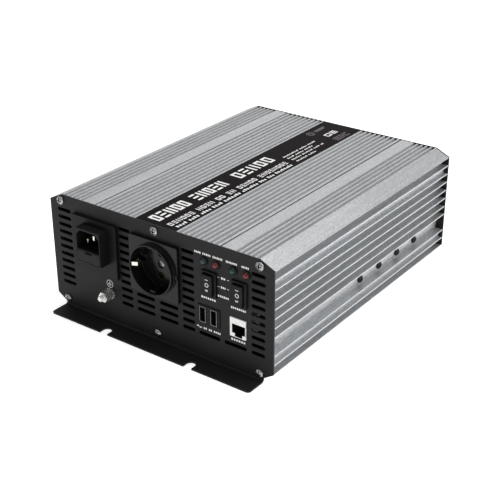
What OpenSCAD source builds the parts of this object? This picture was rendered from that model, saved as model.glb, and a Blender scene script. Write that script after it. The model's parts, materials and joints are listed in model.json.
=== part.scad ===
// Mains inverter and battery charger in a finned aluminium case, built as separate pieces.
// Millimetres, +Z up. The origin is on the floor, under the middle of the case. The front
// panel faces -Y. Both end panels are folded outwards at the bottom to make the feet.

/* [Case] */
// Width of the case and of both end panels
case_w = 220; // [212:1:228]
// Height of the case above the surface that it stands on
case_h = 101.4; // [101:0.1:104]
// Length from the front panel's face to the rear panel's face
case_l = 270; // [262:1:320]
// Thickness of the aluminium walls behind the fins
wall_t = 3; // [2.6:0.1:3.2]
// Distance from one side fin to the next
side_fin_pitch = 7.8; // [7.7:0.05:7.85]
// Thickness of each side fin
side_fin_t = 1.2; // [0.9:0.1:1.8]
// Depth of the grooves between the side fins
side_groove_d = 7; // [6:0.1:7]
// Depth of the grooves in the top
top_groove_d = 3.3; // [2:0.1:3.4]
// Width of the grooves in the top
top_groove_w = 2.8; // [1.5:0.1:3.2]

/* [End panels] */
// Thickness of the steel end panels
panel_t = 1.5; // [1.2:0.1:1.6]
// How far each foot reaches out from its panel
foot_d = 18; // [17.5:0.5:24]
// Half the width of each foot
foot_half_w = 101; // [96:0.5:101]
// Width of the open slots in the feet
foot_slot_w = 7.8; // [6:0.1:9]
// Depth of the open slots in the feet
foot_slot_d = 8.4; // [7:0.1:11]
// Distance of each foot slot from the middle of the foot
foot_slot_x = 43; // [30:1:80]
// Height of each ventilation slot
vent_h = 3; // [2:0.1:3.6]
// Distance from one row of ventilation slots to the next
vent_pitch = 6.55; // [6.3:0.05:6.6]

/* [Mains socket] */
// Side of the socket's square plate
socket_side = 48; // [46:0.5:48.5]
// Inner diameter of the socket's well
socket_well_d = 39.5; // [39:0.1:40]
// Depth of the well from its rim
socket_well_depth = 13.2; // [12:0.1:18]

/* [Controls] */
// Largest turn of the rocker switches to either side
rocker_turn = 10; // [6:1:10]
// Diameter of the indicator lamps
lamp_d = 5; // [4:0.1:5]

/* [Fans] */
// Side of the square fan frames
fan_side = 60; // [58:1:60]
// Depth of the fan frames
fan_depth = 25; // [20:1:25]
// Number of blades on each fan
fan_blades = 7; // [5:2:9]

/* [Hidden] */
$fn = 48;
eps = 0.01;
front_y = -case_l / 2;
rear_y = case_l / 2;
half_w = case_w / 2;
inner_x = half_w - side_groove_d - wall_t;
inner_top = case_h - top_groove_d - wall_t + 0.2;
floor_z = 1;
inner_floor = floor_z + wall_t;
seam_z = 13.5;
chamfer_x = 12.7;
chamfer_z = 6;
fin_z0 = 9.6;
bottom_half_w = 96.6;
bottom_slope = (fin_z0 - floor_z) / (half_w - bottom_half_w);
channel_depth = side_groove_d;
shallow_depth = 3.7;
label_half_w = 20.25;
label_t = 0.3;

// Fastener places on both end panels, and their shared sizes
screw_x = 98;
screw_top_z = 96.5;
screw_low_z = 7.4;
screw_head_r = 3.5;
screw_shank_r = 1.4;
pilot_r = 1.45;
boss_r = 3.8;
panel_hole_r = 2;
side_screw_y = [-2, 28.5, 59, 89.5];
side_screw_z = 30.9;
seam_groove_x = 61.8;
seam_groove_w = 1.5;
seam_groove_d = 4.4;

// Folded foot
bend_in = 1.5;
bend_out = bend_in + panel_t;
foot_corner_r = 3;

// Ventilation columns on the front panel: centre, width, first row and last row
vent_top_z = 88.5;
vent_columns = [[-95.1, 14, 0, 10], [-31.3, 12, 0, 10], [31.3, 12, 0, 10], [96.5, 12.5, 0, 10],
                [-11.7, 18.5, 8, 10], [11.7, 18.5, 8, 10], [51.2, 20, 10, 10], [75.6, 20.5, 10, 10]];
rear_vent_w = 46;

// Mains socket
socket_z = 65.5;
socket_plate_t = 3.3;
socket_collar_r = 21;
socket_rim = 7.2;
socket_well_r = socket_well_d / 2;
socket_cup_r = 21.6;
socket_floor_y = front_y - socket_rim + socket_well_depth;
socket_back_y = front_y + 32;
pin_gap = 19;
pin_hole_r = 2.9;
contact_r = 2.45;
contact_wall = 1;
clip_w = 3.2;
clip_t = 0.7;
clip_x = 20;
key_rib_w = 5.2;
socket_screw_r = 1.6;
socket_screw_head_r = 2.8;
socket_screw_sink = 1.6;

// Mains inlet with its fuse drawer
inlet_x = -59;
inlet_w = 25.5;
inlet_low_z = 55.5;
inlet_h = 29.3;
inlet_z = inlet_low_z + inlet_h / 2;
inlet_rim = 12.4;
inlet_back = 22;
inlet_plate_x = -61.2;
inlet_plate_w = 47;
inlet_plate_z = 66.3;
inlet_recess_w = 23.6;
inlet_recess_low = 66.9;
inlet_recess_h = 16.4;
inlet_recess_cut = 4.2;
inlet_recess_depth = 16;
drawer_w = 23.6;
drawer_low_z = 56.5;
drawer_h = 9.3;
drawer_depth = 21;
drawer_gap = 0.3;
drawer_z = drawer_low_z + drawer_h / 2;
fuse_r = 2.6;
fuse_l = 20;
fuse_y = [front_y - 5.5, front_y + 2.5];

// Earth stud
stud_x = -49.5;
stud_z = 27.3;
stud_r = 2.5;
groove_w = 0.6;
stud_out = 13;
nut_af = 8;
nut_t = 4;
nut_y = [front_y - 9.3, front_y - 5, front_y + panel_t];

// Lamps, switches and signal sockets
lamp_z = 85.4;
lamp_x = [47.1, 58.4, 74, 85.9];
lamp_r = lamp_d / 2;
switch_z = 68.2;
charger_x = 52;
inverter_x = 79.8;
switch_w = 14.3;
switch_h = 21;
switch_rim = 2;
switch_body_w = 13;
switch_body_h = 19.6;
switch_window_w = 9.8;
switch_depth = 16;
pivot_in = 1.4;
pivot_r = 1;
rocker_h = 16.4;
rocker_w = 9.2;
rocker_face = 4.8;
rocker_end_face = 5.4;
rocker_back = 2;
rocker_gap = 0.2;
switch_window_h = 2 * (rocker_h / 2 * cos(rocker_turn) + rocker_end_face * sin(rocker_turn) + rocker_gap);
usb_x = [45.8, 56.3];
usb_z = 40.4;
usb_w = 5.7;
usb_h = 13.1;
usb_block_w = 21;
usb_block_h = 15.6;
usb_t = 0.3;
jack_x = 78.3;
jack_z = 39.1;
jack_w = 14.5;
jack_h = 16;
jack_open_x = jack_x + 0.7;
jack_open_w = 12;
jack_open_low = 34.3;
jack_open_high = 41.9;
jack_notch_w = 6.8;
jack_notch_low = 31.6;
jack_depth = 14;
port_rim = 0.8;
port_back = 18;

// Fans, one at each side of the rear panel
fan_x = 66;
fan_z = 52;
fan_r = 28.4;
fan_hole = 25;
fan_hole_r = 2.2;
hub_r = 13;
blade_r = 27.6;
fan_back_y = rear_y - panel_t;
fan_front_y = fan_back_y - fan_depth;
fan_shaft_r = 1.5;
fan_bearing_r = 1.55;
guard_wire_r = 0.8;
guard_y = rear_y + 3.5;
guard_rings = [9, 17, 25];
guard_eye_r = 3.7;

// Battery terminals
terminal_x = 16;
terminal_z = 40;
terminal_r = 4;
terminal_hole_r = 4.05;
terminal_side = 24;
terminal_out = 17;
terminal_collar_r = 8;
terminal_plate_t = 5;
terminal_nut_af = 13;
terminal_nut_t = 6.5;
terminal_nut_y = [rear_y - panel_t - 10.5, rear_y + terminal_plate_t];
busbar_w = 14;
busbar_t = 2;

// Circuit board and what stands on it
board_t = 1.6;
board_z = 14;
board_top = board_z + board_t;
board_half_w = 88;
board_front = front_y + 39;
board_rear = rear_y - 37;
standoff_x = 80;
standoff_y = [board_front + 8, 0, board_rear - 8];
transformer_x = 27;
transformer_y = 38;
choke_y = -32;
bar_t = 10;
bar_y0 = -20;
bar_y1 = 104;
bar_z0 = 24;
bar_h = 16;
core_w = 44;
core_d = 20;
core_h = 40;
transistor_pitch = 15;

// ---- Shared forms ----

// Extrudes an outline drawn in x and z from y0 to y1
module along_y(y0, y1) translate([0, y1, 0]) rotate([90, 0, 0]) linear_extrude(y1 - y0) children();

// Extrudes an outline drawn in y and z from x0 to x1
module along_x(x0, x1) translate([x0, 0, 0]) rotate([90, 0, 90]) linear_extrude(x1 - x0) children();

// Round rod along Y from y0 to y1
module rod(x, z, r, y0, y1) translate([x, y1, z]) rotate([90, 0, 0]) cylinder(r = r, h = y1 - y0);

// Rectangle about a centre
module plate2d(x, z, w, h) translate([x, z]) square([w, h], center = true);

// Rectangle about a centre with its corners rounded
module soft_plate2d(x, z, w, h, r) translate([x, z]) {
    square([w - 2 * r, h], center = true);
    square([w, h - 2 * r], center = true);
    for (sx = [-1, 1], sz = [-1, 1]) translate([sx * (w / 2 - r), sz * (h / 2 - r)]) circle(r);
}

// Slot with round ends
module slot2d(x, z, w, h) translate([x, z]) {
    square([w - h, h], center = true);
    for (s = [-1, 1]) translate([s * (w - h) / 2, 0]) circle(d = h);
}

// Pan-head screw with a cross recess; the head's underside is at the origin, the shank runs to -Z
module pan_screw(head_r, head_h, shank_r, shank_l) {
    difference() {
        union() {
            cylinder(r = head_r, h = head_h * 0.45);
            intersection() {
                translate([0, 0, head_h - head_r * 1.25]) sphere(r = head_r * 1.25);
                translate([0, 0, head_h * 0.45]) cylinder(r = head_r, h = head_h);
            }
        }
        for (a = [0, 90]) rotate(a) translate([0, 0, head_h])
            cube([head_r * 1.15, head_r * 0.26, head_h * 1.1], center = true);
    }
    translate([0, 0, -shank_l]) cylinder(r = shank_r, h = shank_l + eps);
}

// Puts a thing made along +Z on a face that looks along -Y, +Y or sideways
module facing_front(x, y, z) translate([x, y, z]) rotate([90, 0, 0]) children();
module facing_rear(x, y, z) translate([x, y, z]) rotate([-90, 0, 0]) children();
module facing_side(s, y, z) translate([s * (half_w - channel_depth), y, z]) rotate([0, s * 90, 0]) children();

// Hexagon nut along Y with its flats af apart
module hex_nut(x, z, af, bore_r, y0, y1) difference() {
    translate([x, y1, z]) rotate([90, 0, 0]) cylinder(d = af / cos(30), h = y1 - y0, $fn = 6);
    rod(x, z, bore_r, y0 - 1, y1 + 1);
}

// ---- Case ----

function fin_z(i) = fin_z0 + i * side_fin_pitch;

// Outer outline of the whole extrusion
function case_outline() = [
    [-bottom_half_w, floor_z], [bottom_half_w, floor_z], [half_w, fin_z0],
    [half_w, case_h - chamfer_z], [half_w - chamfer_x, case_h],
    [chamfer_x - half_w, case_h], [-half_w, case_h - chamfer_z], [-half_w, fin_z0]];

// Grooves between the side fins; the wide channel takes the place of fin 3
module side_grooves2d() for (s = [-1, 1], i = [0 : 10]) if (i != 3) {
    low = fin_z(i) + side_fin_t / 2;
    high = fin_z(i == 2 ? 4 : i + 1) - side_fin_t / 2;
    depth = i == 2 ? channel_depth : (i == 1 || i == 9) ? shallow_depth : side_groove_d;
    translate([s * (half_w - depth / 2 + 1), (low + high) / 2])
        square([depth + 2, high - low], center = true);
}

// Grooves in the top: eight beside the label, a narrow deep one and five towards each edge
function top_groove_x() = concat([for (i = [0 : 7]) 23.5 + i * 4.79], [for (i = [0 : 4]) 76.5 + i * 4.53]);
module top_groove2d(x, w, d) translate([x, case_h - d / 2 + 1]) square([w, d + 2], center = true);

module top_grooves2d() for (s = [-1, 1]) {
    for (x = top_groove_x()) top_groove2d(s * x, top_groove_w, top_groove_d);
    top_groove2d(s * seam_groove_x, seam_groove_w, seam_groove_d);
}

// Inner space between the walls
module cavity2d() translate([-inner_x, inner_floor]) square([2 * inner_x, inner_top - inner_floor]);

// Screw ports that run the length of the extrusion
module ports2d(z, r) for (x = [-screw_x, 0, screw_x]) translate([x, z]) circle(r);

module side_screw_holes() for (s = [-1, 1], y = side_screw_y)
    translate([s * (half_w - channel_depth + 1), y, side_screw_z]) rotate([0, -s * 90, 0])
        cylinder(r = screw_shank_r + 0.15, h = wall_t + bar_t + 2);

module case_top() color("#b4b6b7") difference() {
    along_y(front_y + panel_t, rear_y - panel_t) difference() {
        union() {
            difference() {
                polygon(case_outline());
                cavity2d();
                top_grooves2d();
                side_grooves2d();
            }
            intersection() {
                ports2d(screw_top_z, boss_r);
                translate([-half_w, 0]) square([case_w, case_h - top_groove_d - 0.1]);
            }
        }
        ports2d(screw_top_z, pilot_r);
        translate([-half_w - 1, floor_z - 1]) square([case_w + 2, seam_z - floor_z + 1]);
        translate([-label_half_w, case_h - label_t]) square([2 * label_half_w, 1]);
    }
    side_screw_holes();
}

module case_bottom() color("#b4b6b7") along_y(front_y + panel_t, rear_y - panel_t) difference() {
    union() {
        difference() {
            polygon(case_outline());
            cavity2d();
            side_grooves2d();
            for (s = [-1, 1], i = [0 : 6]) plate2d(s * (14 + i * 11), floor_z, 5, 1.6);
        }
        ports2d(screw_low_z, boss_r);
    }
    ports2d(screw_low_z, pilot_r);
    translate([-half_w - 1, seam_z]) square([case_w + 2, case_h]);
}

module top_label() color("#231f20")
    translate([-label_half_w, front_y + panel_t, case_h - label_t])
        cube([2 * label_half_w, case_l - 2 * panel_t, label_t]);

// ---- End panels ----

function panel_outline() = [
    [-foot_half_w, bend_out], [foot_half_w, bend_out],
    [foot_half_w, fin_z0 - (half_w - foot_half_w) * bottom_slope], [half_w, fin_z0],
    [half_w, case_h - chamfer_z], [half_w - chamfer_x, case_h],
    [chamfer_x - half_w, case_h], [-half_w, case_h - chamfer_z],
    [-half_w, fin_z0], [-foot_half_w, fin_z0 - (half_w - foot_half_w) * bottom_slope]];

module foot2d() difference() {
    union() {
        translate([-foot_half_w, front_y - foot_d + foot_corner_r])
            square([2 * foot_half_w, foot_d - foot_corner_r - bend_in]);
        translate([-foot_half_w + foot_corner_r, front_y - foot_d])
            square([2 * (foot_half_w - foot_corner_r), foot_corner_r + eps]);
        for (s = [-1, 1]) translate([s * (foot_half_w - foot_corner_r), front_y - foot_d + foot_corner_r])
            circle(foot_corner_r);
    }
    for (s = [-1, 1]) translate([s * foot_slot_x, front_y - foot_d]) {
        translate([0, foot_slot_d - foot_slot_w / 2]) circle(d = foot_slot_w);
        translate([-foot_slot_w / 2, -1]) square([foot_slot_w, foot_slot_d - foot_slot_w / 2 + 1]);
    }
}

// Plain folded panel at the front; children are the openings, drawn in x and z
module folded_panel() {
    along_y(front_y, front_y + panel_t) difference() {
        polygon(panel_outline());
        for (x = [-screw_x, 0, screw_x], z = [screw_low_z, screw_top_z])
            translate([x, z]) circle(panel_hole_r);
        children();
    }
    linear_extrude(panel_t) foot2d();
    along_x(-foot_half_w, foot_half_w) difference() {
        intersection() {
            translate([front_y - bend_in, bend_out]) circle(bend_out);
            translate([front_y - bend_in, 0]) square(bend_out);
        }
        translate([front_y - bend_in, bend_out]) circle(bend_in);
    }
}

module vents2d(columns) for (c = columns, row = [c[2] : c[3]])
    slot2d(c[0], vent_top_z - row * vent_pitch, c[1], vent_h);

module front_panel() color("#2e2e2e") folded_panel() {
    vents2d(vent_columns);
    translate([0, socket_z]) circle(socket_cup_r + 0.4);
    plate2d(inlet_x, inlet_z, inlet_w + 0.6, inlet_h + 0.6);
    translate([stud_x, stud_z]) circle(stud_r + 0.2);
    for (x = lamp_x) translate([x, lamp_z]) circle(lamp_r + 0.6);
    for (x = [charger_x, inverter_x]) plate2d(x, switch_z, switch_body_w + 0.2, switch_body_h + 0.2);
    plate2d((usb_x[0] + usb_x[1]) / 2, usb_z, usb_block_w + 0.2, usb_block_h + 0.2);
    plate2d(jack_x, jack_z, jack_w + 0.2, jack_h + 0.2);
}

module rear_panel() color("#2e2e2e") mirror([0, 1, 0]) folded_panel() {
    vents2d([[0, rear_vent_w, 0, 4]]);
    for (s = [-1, 1]) {
        translate([s * fan_x, fan_z]) circle(fan_r);
        for (dx = [-fan_hole, fan_hole], dz = [-fan_hole, fan_hole])
            translate([s * fan_x + dx, fan_z + dz]) circle(fan_hole_r);
        translate([s * terminal_x, terminal_z]) circle(terminal_collar_r + 0.1);
    }
}

module front_panel_screws() color("#c8c9ca") for (x = [-screw_x, 0, screw_x], z = [screw_low_z, screw_top_z])
    facing_front(x, front_y, z) pan_screw(screw_head_r, 2.4, screw_shank_r, 12);

module rear_panel_screws() color("#c8c9ca") for (x = [-screw_x, 0, screw_x], z = [screw_low_z, screw_top_z])
    facing_rear(x, rear_y, z) pan_screw(screw_head_r, 2.4, screw_shank_r, 12);

module side_screws() color("#1c1c1c") for (s = [-1, 1], y = side_screw_y)
    facing_side(s, y, side_screw_z) pan_screw(3.2, 2.7, screw_shank_r, 12);

module heat_bar(s) color("#a7a9ab") difference() {
    translate([s * (inner_x - bar_t / 2), (bar_y0 + bar_y1) / 2, bar_z0 + bar_h / 2])
        cube([bar_t, bar_y1 - bar_y0, bar_h], center = true);
    side_screw_holes();
}

// ---- Mains socket ----

module ac_socket_housing() color("#262626") difference() {
    union() {
        along_y(front_y - socket_plate_t, front_y) soft_plate2d(0, socket_z, socket_side, socket_side, 2);
        rod(0, socket_z, socket_collar_r, front_y - socket_rim, front_y);
        rod(0, socket_z, socket_cup_r, front_y - eps, socket_back_y);
        along_y(front_y - socket_plate_t - 1, front_y) plate2d(socket_collar_r + 1, socket_z, 4, 3.4);
    }
    difference() {
        rod(0, socket_z, socket_well_r, front_y - socket_rim - 1, socket_floor_y);
        for (s = [-1, 1]) along_y(front_y - socket_rim + 2, socket_floor_y + 1)
            plate2d(0, socket_z + s * (socket_well_r - 0.2), key_rib_w, 4);
    }
    for (s = [-1, 1]) {
        rod(0, socket_z + s * pin_gap / 2, pin_hole_r, socket_floor_y - 1, socket_floor_y + 3);
        rod(0, socket_z + s * pin_gap / 2, contact_r + contact_wall + 0.1, socket_floor_y + 2.9,
            socket_back_y + 1);
        along_y(front_y - socket_rim + 1.2, socket_back_y + 1)
            plate2d(s * (socket_well_r - 1.6), socket_z, 4.6, clip_w + 0.6);
    }
    rod(0, socket_z, socket_screw_r + 0.1, socket_floor_y - 1, socket_back_y + 1);
    rod(0, socket_z, socket_screw_head_r + 0.2, socket_floor_y - 1, socket_floor_y + socket_screw_sink);
}

// Two sprung earth strips, one at each side of the well
module ac_socket_earth_clips() color("#d8d4c4") for (s = [-1, 1])
    translate([0, 0, socket_z - clip_w / 2]) linear_extrude(clip_w) mirror([s < 0 ? 1 : 0, 0]) polygon([
        [clip_x, socket_back_y + 6], [clip_x, front_y - 5.6], [clip_x - clip_t, front_y - 5.6],
        [clip_x - 4.6, front_y - 3.4], [clip_x - 4.6, front_y - 2], [clip_x - 2.4, front_y + 3],
        [clip_x - 2.4 + clip_t, front_y + 3], [clip_x - 3.8, front_y - 2.2], [clip_x - 3.8, front_y - 3],
        [clip_x - clip_t, front_y - 4.6], [clip_x - clip_t, socket_back_y + 6]]);

module ac_socket_contacts() color("#b9a05c") for (s = [-1, 1]) difference() {
    rod(0, socket_z + s * pin_gap / 2, contact_r + contact_wall, socket_floor_y + 3.1, socket_back_y + 5);
    rod(0, socket_z + s * pin_gap / 2, contact_r, socket_floor_y + 3, socket_back_y + 2);
}

module ac_socket_screw() color("#c8c9ca")
    facing_front(0, socket_floor_y + socket_screw_sink, socket_z)
        pan_screw(socket_screw_head_r, 1.5, socket_screw_r, 18);

// ---- Mains inlet ----

module inlet_block2d() plate2d(inlet_x, inlet_z, inlet_w, inlet_h);

module inlet_plate() color("#2b2b2b") along_y(front_y - socket_plate_t, front_y) difference() {
    soft_plate2d(inlet_plate_x, inlet_plate_z, inlet_plate_w, inlet_plate_w, 1.5);
    plate2d(inlet_x, inlet_z, inlet_w + 0.1, inlet_h + 0.1);
}

// Recess with its two upper corners cut off
module inlet_recess2d() translate([inlet_x, inlet_recess_low]) polygon([
    [-inlet_recess_w / 2, 0], [inlet_recess_w / 2, 0],
    [inlet_recess_w / 2, inlet_recess_h - inlet_recess_cut],
    [inlet_recess_w / 2 - inlet_recess_cut, inlet_recess_h],
    [inlet_recess_cut - inlet_recess_w / 2, inlet_recess_h],
    [-inlet_recess_w / 2, inlet_recess_h - inlet_recess_cut]]);

// Places of the three blades: two in a line and the middle one higher
inlet_blades = [[-7, 4.6], [0, 8.6], [7, 4.6]];

module inlet_housing() color("#262626") difference() {
    along_y(front_y - inlet_rim, front_y + inlet_back) inlet_block2d();
    along_y(front_y - inlet_rim - 1, front_y - inlet_rim + inlet_recess_depth) inlet_recess2d();
    along_y(front_y - inlet_rim - 1, front_y - inlet_rim + drawer_depth + 2)
        plate2d(inlet_x, drawer_z, drawer_w + 2 * drawer_gap, drawer_h + 2 * drawer_gap);
    for (b = inlet_blades) along_y(front_y, front_y + inlet_back + 1)
        plate2d(inlet_x + b[0], inlet_recess_low + b[1], 2.1, 4.1);
}

module inlet_pins() color("#c9c9c4") for (b = inlet_blades)
    along_y(front_y - inlet_rim + 7, front_y + inlet_back + 8)
        plate2d(inlet_x + b[0], inlet_recess_low + b[1], 2, 4);

module fuse_drawer() color("#2b2b2b") difference() {
    along_y(front_y - inlet_rim, front_y - inlet_rim + drawer_depth)
        plate2d(inlet_x, drawer_z, drawer_w, drawer_h);
    for (y = fuse_y) translate([inlet_x, y, drawer_z + 1.5])
        cube([fuse_l + 0.8, 6.2, drawer_h], center = true);
    along_y(front_y - inlet_rim - 1, front_y - inlet_rim + 1.2)
        plate2d(inlet_x, drawer_low_z + drawer_h - 1.1, 7, 1.4);
}

module line_fuses() color("#d5d8d8") for (y = fuse_y)
    translate([inlet_x - fuse_l / 2, y, drawer_low_z + 4.5]) rotate([0, 90, 0])
        cylinder(r = fuse_r, h = fuse_l);

// ---- Earth stud ----

// Stud with a narrow groove that ends its outer thread inside the outer nut
module ground_stud() color("#d0d0cc") difference() {
    rod(stud_x, stud_z, stud_r, front_y - stud_out, front_y + 8);
    difference() {
        rod(stud_x, stud_z, stud_r + 1, nut_y[0], nut_y[0] + groove_w);
        rod(stud_x, stud_z, stud_r - 0.4, nut_y[0] - 1, front_y);
    }
}

module ground_lock_washer() color("#cfcfca") along_y(front_y - 1, front_y) difference() {
    translate([stud_x, stud_z]) union() {
        circle(3.9);
        for (i = [0 : 11]) rotate(i * 30) translate([4.2, 0]) square([1.4, 1.1], center = true);
    }
    translate([stud_x, stud_z]) circle(stud_r + 0.15);
}

module ground_nuts() color("#d6d6d2")
    for (y = nut_y) hex_nut(stud_x, stud_z, nut_af, stud_r + 0.02, y, y + nut_t);

// ---- Lamps ----

module led_bezels() color("#1d1d1d") for (x = lamp_x) difference() {
    union() {
        rod(x, lamp_z, 3.75, front_y - 1.2, front_y);
        rod(x, lamp_z, lamp_r + 0.5, front_y - eps, front_y + 6);
    }
    rod(x, lamp_z, lamp_r + 0.1, front_y - 2, front_y + 7);
}

module lamp(i) {
    rod(lamp_x[i], lamp_z, lamp_r, front_y - 0.4, front_y + 7.5);
    translate([lamp_x[i], front_y - 0.4, lamp_z]) sphere(lamp_r);
    for (s = [-1, 1]) rod(lamp_x[i] + s * 1.27, lamp_z, 0.3, front_y + 7.4, front_y + 21);
}
module led_bypass() color("#1f4a55") lamp(0);
module led_charger() color("#b02a35") lamp(1);
module led_inverter() color("#11503c") lamp(2);
module led_fault() color("#b02a35") lamp(3);

// ---- Rocker switches ----

module switch_frame(x) color("#232323") difference() {
    union() {
        along_y(front_y - switch_rim, front_y) soft_plate2d(x, switch_z, switch_w, switch_h, 1);
        along_y(front_y - eps, front_y + switch_depth) plate2d(x, switch_z, switch_body_w, switch_body_h);
    }
    along_y(front_y - switch_rim - 1, front_y + switch_depth - 2)
        plate2d(x, switch_z, switch_window_w, switch_window_h);
    translate([x - 10, front_y + pivot_in, switch_z]) rotate([0, 90, 0]) cylinder(r = pivot_r + 0.05, h = 20);
}
module charger_switch_frame() switch_frame(charger_x);
module inverter_switch_frame() switch_frame(inverter_x);

// Rocker with a shallow V across its face, on two round pivots
module rocker(x) color("#1b1b1b") union() {
    along_x(x - rocker_w / 2, x + rocker_w / 2) translate([front_y + pivot_in, switch_z]) polygon([
        [-rocker_end_face, rocker_h / 2], [-rocker_face, 0], [-rocker_end_face, -rocker_h / 2],
        [0, -rocker_h / 2], [rocker_back, -2], [rocker_back, 2], [0, rocker_h / 2]]);
    translate([x - 6.3, front_y + pivot_in, switch_z]) rotate([0, 90, 0]) cylinder(r = pivot_r, h = 12.6);
}
module charger_rocker() rocker(charger_x);
module inverter_rocker() rocker(inverter_x);

// ---- Signal sockets ----

module usb_module() color("#1d1d1d") difference() {
    along_y(front_y - port_rim, front_y + port_back)
        plate2d((usb_x[0] + usb_x[1]) / 2, usb_z, usb_block_w, usb_block_h);
    for (x = usb_x) along_y(front_y - port_rim - 1, front_y + jack_depth + 1)
        plate2d(x, usb_z, usb_w + 0.1, usb_h + 0.1);
}

module usb_shells() color("#c4c6c8") for (x = usb_x)
    along_y(front_y - port_rim - 0.6, front_y + jack_depth) difference() {
        plate2d(x, usb_z, usb_w, usb_h);
        plate2d(x, usb_z, usb_w - 2 * usb_t, usb_h - 2 * usb_t);
    }

module usb_tongues() color("#e8e8e6") for (x = usb_x)
    along_y(front_y + 1, front_y + jack_depth + 1) plate2d(x + 1.2, usb_z, 1.8, usb_h - 2 * usb_t - 1);

module rj45_jack() color("#eceded") difference() {
    along_y(front_y - port_rim, front_y + port_back) plate2d(jack_x, jack_z, jack_w, jack_h);
    along_y(front_y - port_rim - 1, front_y + jack_depth) {
        translate([jack_open_x - jack_open_w / 2, jack_open_low])
            square([jack_open_w, jack_open_high - jack_open_low]);
        translate([jack_open_x - jack_notch_w / 2, jack_notch_low])
            square([jack_notch_w, jack_open_low - jack_notch_low + eps]);
    }
}

// Eight sprung wires that slope down from the roof of the socket
module rj45_contacts() color("#c9a24a") for (i = [-3.5 : 1 : 3.5])
    along_x(jack_open_x + i * 1.02 - 0.2, jack_open_x + i * 1.02 + 0.2)
        polygon([[front_y + 1, jack_open_high], [front_y + jack_depth, jack_open_high - 2],
                 [front_y + jack_depth, jack_open_high - 1.6], [front_y + 3.8, jack_open_high]]);

module control_board() color("#1d5a35") translate([36, front_y + 21, 26]) cube([56, board_t, 66]);

// ---- Fans ----

module fan_frame(s) color("#232323") difference() {
    union() {
        difference() {
            along_y(fan_front_y, fan_back_y) soft_plate2d(s * fan_x, fan_z, fan_side, fan_side, 3);
            rod(s * fan_x, fan_z, fan_r, fan_front_y - 1, fan_back_y + 1);
        }
        rod(s * fan_x, fan_z, 12, fan_front_y, fan_front_y + 3);
        rod(s * fan_x, fan_z, 4, fan_front_y, fan_front_y + 14);
        for (a = [45 : 90 : 315]) translate([s * fan_x, fan_front_y + 1.5, fan_z]) rotate([0, a, 0])
            translate([19, 0, 0]) cube([20, 3, 4], center = true);
    }
    rod(s * fan_x, fan_z, fan_bearing_r, fan_front_y - 1, fan_front_y + 15);
    for (dx = [-fan_hole, fan_hole], dz = [-fan_hole, fan_hole])
        rod(s * fan_x + dx, fan_z + dz, fan_hole_r, fan_front_y - 1, fan_back_y + 1);
}
module fan_left_frame() fan_frame(-1);
module fan_right_frame() fan_frame(1);

module fan_rotor(s) color("#2a2a2a") {
    hub_y0 = fan_front_y + 4;
    hub_y1 = fan_back_y - 4;
    difference() {
        rod(s * fan_x, fan_z, hub_r, hub_y0, hub_y1);
        rod(s * fan_x, fan_z, 10.5, hub_y0 - 1, hub_y1 - 2);
    }
    rod(s * fan_x, fan_z, fan_shaft_r, fan_front_y + 1, hub_y1 - 1);
    intersection() {
        difference() {
            rod(s * fan_x, fan_z, blade_r, hub_y0 + 1, hub_y1 - 0.5);
            rod(s * fan_x, fan_z, hub_r - 0.3, hub_y0, hub_y1);
        }
        for (i = [0 : fan_blades - 1]) translate([s * fan_x, (hub_y0 + hub_y1) / 2, fan_z])
            rotate([0, i * 360 / fan_blades, 0]) translate([20, 0, 0]) rotate([38, 0, 0])
                cube([24, 1.3, 24], center = true);
    }
}
module fan_left_rotor() fan_rotor(-1);
module fan_right_rotor() fan_rotor(1);

// Finger guard: three rings welded on four spokes that step down to eyes under the screws
module fan_guard(s) color("#b9bbbd") translate([s * fan_x, guard_y, fan_z]) rotate([-90, 0, 0]) {
    wire = 2 * guard_wire_r;
    for (r = guard_rings) rotate_extrude() translate([r - guard_wire_r, 0]) square([wire, guard_wire_r]);
    for (a = [45 : 90 : 315]) rotate(a) {
        translate([8, -guard_wire_r, -wire]) cube([24, wire, wire]);
        translate([31, -guard_wire_r, rear_y - guard_y]) cube([2, wire, guard_y - rear_y]);
        translate([fan_hole * sqrt(2), 0, rear_y - guard_y]) difference() {
            cylinder(r = guard_eye_r, h = wire);
            translate([0, 0, -1]) cylinder(r = 2.1, h = wire + 2);
        }
    }
}
module fan_left_guard() fan_guard(-1);
module fan_right_guard() fan_guard(1);

module fan_screws() color("#c8c9ca") for (s = [-1, 1], dx = [-fan_hole, fan_hole], dz = [-fan_hole, fan_hole])
    facing_rear(s * fan_x + dx, rear_y + 2 * guard_wire_r, fan_z + dz) pan_screw(3.6, 2.2, 1.9, 22);

// ---- Battery terminals ----

module dc_insulator(x, tint) color(tint) difference() {
    union() {
        along_y(rear_y, rear_y + terminal_plate_t)
            soft_plate2d(x, terminal_z, terminal_side, terminal_side, 3);
        rod(x, terminal_z, terminal_collar_r, rear_y - panel_t - eps, rear_y + eps);
        along_y(rear_y - panel_t - 4, rear_y - panel_t)
            soft_plate2d(x, terminal_z, terminal_side, terminal_side, 3);
        for (s = [-1, 1]) along_y(rear_y + terminal_plate_t - eps, rear_y + 14)
            plate2d(x + s * (terminal_side / 2 - 1), terminal_z, 2, terminal_side - 6);
    }
    rod(x, terminal_z, terminal_hole_r, rear_y - 10, rear_y + 10);
}
module dc_positive_insulator() dc_insulator(terminal_x, "#b3221f");
module dc_negative_insulator() dc_insulator(-terminal_x, "#1f1f1f");

module dc_studs() color("#c6a25a") for (s = [-1, 1]) difference() {
    rod(s * terminal_x, terminal_z, terminal_r, rear_y - 22, rear_y + terminal_out);
    difference() {
        rod(s * terminal_x, terminal_z, terminal_r + 1, terminal_nut_y[1] + terminal_nut_t - groove_w,
            terminal_nut_y[1] + terminal_nut_t);
        rod(s * terminal_x, terminal_z, terminal_r - 0.5, rear_y, rear_y + 12);
    }
}

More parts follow.
